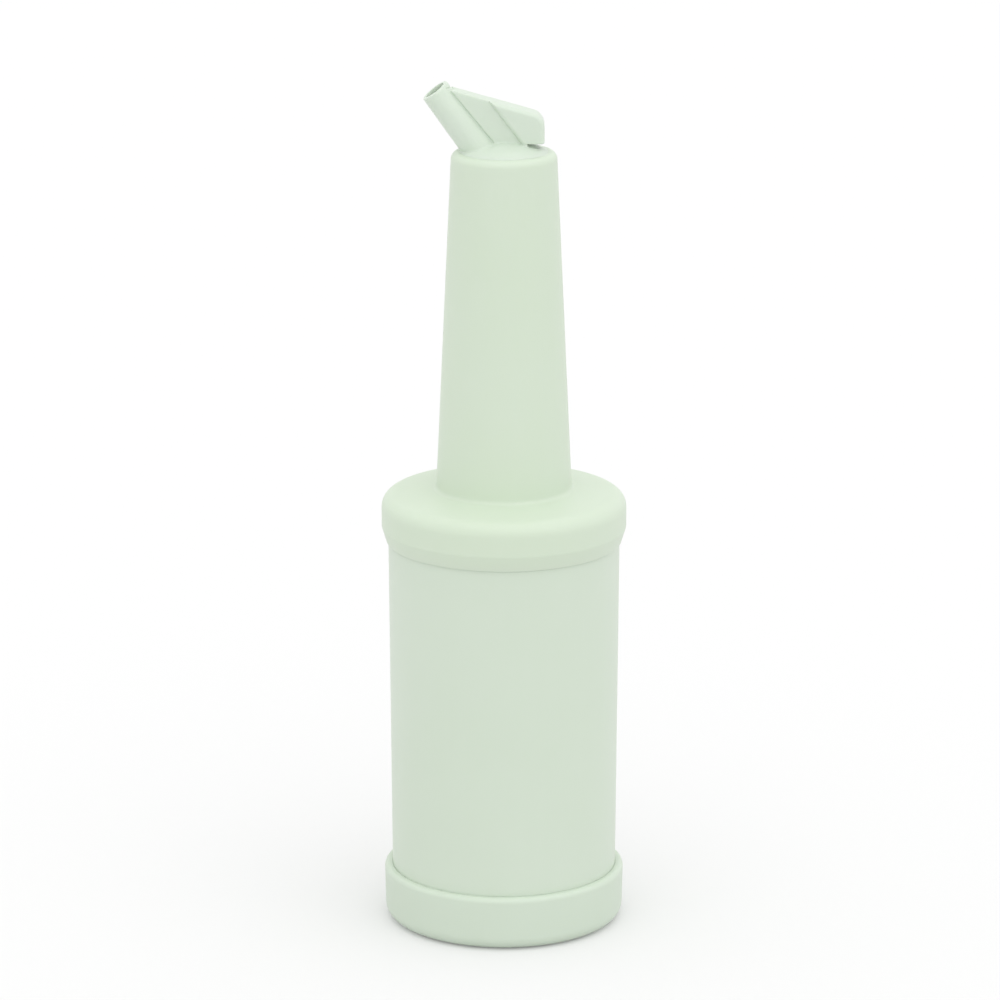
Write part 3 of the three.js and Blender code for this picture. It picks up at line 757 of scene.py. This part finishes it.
def nil_surface(distance, low, high):
    """The surface where a distance is nil. A grid of cells is laid through space. A cell that the surface
    passes through gets one point, the mean of where its edges are crossed, and each crossed edge becomes a
    face between the four cells round it. The points are then moved along the slope until they lie on the
    surface, each within its own cell, so that no two meet."""
    ends = high + GRID_MARGIN + CELL
    axes = [np.arange(start, end, CELL) for start, end in zip(low - GRID_MARGIN, ends)]
    places = np.stack(np.meshgrid(*axes, indexing="ij"), axis=-1)
    value = distance(places)
    shape = np.array(value.shape) - 1
    total = np.zeros((*shape, 3))
    count = np.zeros(shape)
    crossed = []
    for axis in range(3):
        cycle = (axis, (axis + 1) % 3, (axis + 2) % 3)
        start = np.moveaxis(value, cycle, (0, 1, 2))
        where = np.moveaxis(places, cycle, (0, 1, 2))[:-1]
        start, end = start[:-1], start[1:]
        cut = (start < 0) != (end < 0)
        share = np.where(cut, start / np.where(cut, start - end, 1), 0)
        crossing = (where + share[..., None] * CELL * np.eye(3)[axis]) * cut[..., None]
        total_here = np.moveaxis(total, cycle, (0, 1, 2))
        count_here = np.moveaxis(count, cycle, (0, 1, 2))
        _, rows, columns = count_here.shape
        for row in (0, 1):
            for column in (0, 1):
                total_here += crossing[:, row:row + rows, column:column + columns]
                count_here += cut[:, row:row + rows, column:column + columns]
        crossed.append((cycle, cut, start < 0))
    passed = count > 0
    number = np.full(shape, -1)
    number[passed] = np.arange(np.count_nonzero(passed))
    faces = []
    for cycle, cut, from_inside in crossed:
        cell = np.moveaxis(number, cycle, (0, 1, 2))
        i, j, k = np.nonzero(cut)
        around = [cell[i, j - 1, k - 1], cell[i, j, k - 1], cell[i, j, k], cell[i, j - 1, k]]
        around = np.stack(around, axis=-1)
        faces.append(np.where(from_inside[i, j, k][:, None], around, around[:, ::-1]))
    points = total[passed] / count[passed][:, None]
    nearest = places[:-1, :-1, :-1][passed] + CELL_MARGIN
    farthest = places[1:, 1:, 1:][passed] - CELL_MARGIN
    for _ in range(SETTLING_ROUNDS):
        steep = slope(distance, points)
        share = distance(points) / np.maximum(np.sum(steep**2, axis=-1), LEAST_SLOPE)
        points = np.clip(points - steep * share[:, None], nearest, farthest)
    return points, np.concatenate(faces), unit(slope(distance, points))


def crisp(points, faces, normals):
    """A normal for each face corner: that of its point, or that of its face where the two part by more than
    the edge angle, so that an edge is not smeared over the cells beside it."""
    corners = points[faces]
    flat = unit(np.cross(corners[:, 2] - corners[:, 0], corners[:, 3] - corners[:, 1]))[:, None]
    smooth = normals[faces]
    agree = np.sum(smooth * flat, axis=-1, keepdims=True) > np.cos(EDGE_ANGLE)
    return np.where(agree, smooth, flat).reshape(-1, 3)


spout_points, spout_faces, spout_slopes = nil_surface(spout_distance, spout_low, spout_high)
spout_normals = crisp(spout_points, spout_faces, spout_slopes)
spout = add_piece("pouring_spout", spout_points, spout_faces.tolist(), spout_normals)
spout.data.materials.append(moulded_plastic("spout_plastic", SPOUT_SHADE, SPOUT_TINT, SPOUT_ROUGHNESS))
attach(spout, "spout")
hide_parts("spout")


# Stage
# A wide pale floor that keeps the bottle's shadow, white light from all round, a wide soft lamp high in front
# and a little to the right, and a camera with a long lens, a little above the bottle.
FLOOR_RADIUS = 6000
FLOOR_DROP = 0.2  # below the cap's foot, so that the two surfaces don't meet
FLOOR_RINGS = 7
FLOOR_SPOKES = 64
FLOOR_GREY = 0.73  # what the floor gives back to the bottle
FLOOR_GLOW = 0.15  # what it takes on top of that to be white in the picture

ring_radii = np.linspace(0, FLOOR_RADIUS, FLOOR_RINGS + 1)[1:]
spoke_angles = np.arange(FLOOR_SPOKES) * FULL_TURN / FLOOR_SPOKES
reach, angle = np.meshgrid(ring_radii, spoke_angles, indexing="ij")
level = np.full_like(reach, -FLOOR_DROP)
floor_points = np.stack([reach * np.cos(angle), reach * np.sin(angle), level], axis=-1).reshape(-1, 3)
number = np.arange(reach.size).reshape(reach.shape)
inner, outer = number[:-1], number[1:]
floor_faces = np.stack([inner, outer, np.roll(outer, -1, axis=1), np.roll(inner, -1, axis=1)], axis=-1)
middle_face = number[0].tolist()
floor = add_piece("floor", floor_points, floor_faces.reshape(-1, 4).tolist() + [middle_face])


def grey(level):
    """A grey of this level as a colour."""
    return (level, level, level, 1)


def in_view(wire):
    """1 for a ray from the camera, also by way of a mirror or through glass, and 0 for light on its way."""
    kinds = ("Is Camera Ray", "Is Glossy Ray", "Is Transmission Ray")
    direct, mirrored, through = [wire.node("ShaderNodeLightPath", {}, {}, output=kind) for kind in kinds]
    return wire.math("MAXIMUM", wire.math("MAXIMUM", direct, mirrored), through)


floor_finish, floor_shader, floor_place = new_finish("floor_paper")
in_view(floor_place).blend(grey(0), grey(FLOOR_GLOW)).into(floor_shader.inputs["Emission Color"])
floor_shader.inputs["Emission Strength"].default_value = 1
floor_shader.inputs["Base Color"].default_value = grey(FLOOR_GREY)
floor_shader.inputs["Roughness"].default_value = 1
floor_shader.inputs["Specular IOR Level"].default_value = 0
floor.data.materials.append(floor_finish)

AMBIENT = 1  # strength of the light from all round, which is white in the picture

world = bpy.data.worlds.new("studio")
bpy.context.scene.world = world
world.use_nodes = True
backdrop = world.node_tree.nodes["Background"]
backdrop.inputs["Strength"].default_value = AMBIENT
backdrop.inputs["Color"].default_value = grey(1)

SUN_ELEVATION = np.radians(62)
SUN_BEARING = np.radians(18)  # from straight in front round to the right
SUN_STRENGTH = 0.6
SUN_SPREAD = np.radians(70)  # how wide it is, which makes its shadow soft

sun_data = bpy.data.lights.new("skylight", "SUN")
sun_data.energy = SUN_STRENGTH
sun_data.angle = SUN_SPREAD
sun = bpy.data.objects.new("skylight", sun_data)
sun_level = np.cos(SUN_ELEVATION)
towards_sun = Vector(
    (sun_level * np.sin(SUN_BEARING), -sun_level * np.cos(SUN_BEARING), np.sin(SUN_ELEVATION))
)
sun.rotation_mode = "QUATERNION"
sun.rotation_quaternion = towards_sun.to_track_quat("Z", "Y")
bpy.context.scene.collection.objects.link(sun)

PICTURE_SIZE = 1000  # pixels along each side
PICTURE_SCALE = 2632.5  # pixels to a metre at the bottle's axis
CAMERA_DISTANCE = 2.0756
CAMERA_ELEVATION = np.radians(15.51)
SENSOR = 36  # millimetres
AXIS_COLUMN = 504  # pixel column of the bottle's axis
MIDDLE_ROW = 500.7  # pixel row of the axis at the middle height
MIDDLE_HEIGHT = 0.165

camera_data = bpy.data.cameras.new("picture_camera")
camera_data.sensor_width = SENSOR
camera_data.lens = PICTURE_SCALE * CAMERA_DISTANCE * SENSOR / PICTURE_SIZE
camera = bpy.data.objects.new("picture_camera", camera_data)
bpy.context.scene.collection.objects.link(camera)
aim = Vector(
    (
        -(AXIS_COLUMN - PICTURE_SIZE / 2) / PICTURE_SCALE,
        0,
        MIDDLE_HEIGHT + (MIDDLE_ROW - PICTURE_SIZE / 2) / PICTURE_SCALE / np.cos(CAMERA_ELEVATION),
    )
)
towards_camera = Vector((0, -np.cos(CAMERA_ELEVATION), np.sin(CAMERA_ELEVATION)))
camera.location = aim + towards_camera * CAMERA_DISTANCE
camera.rotation_mode = "QUATERNION"
camera.rotation_quaternion = towards_camera.to_track_quat("Z", "Y")
bpy.context.scene.camera = camera

bpy.context.scene.view_settings.view_transform = "Standard"
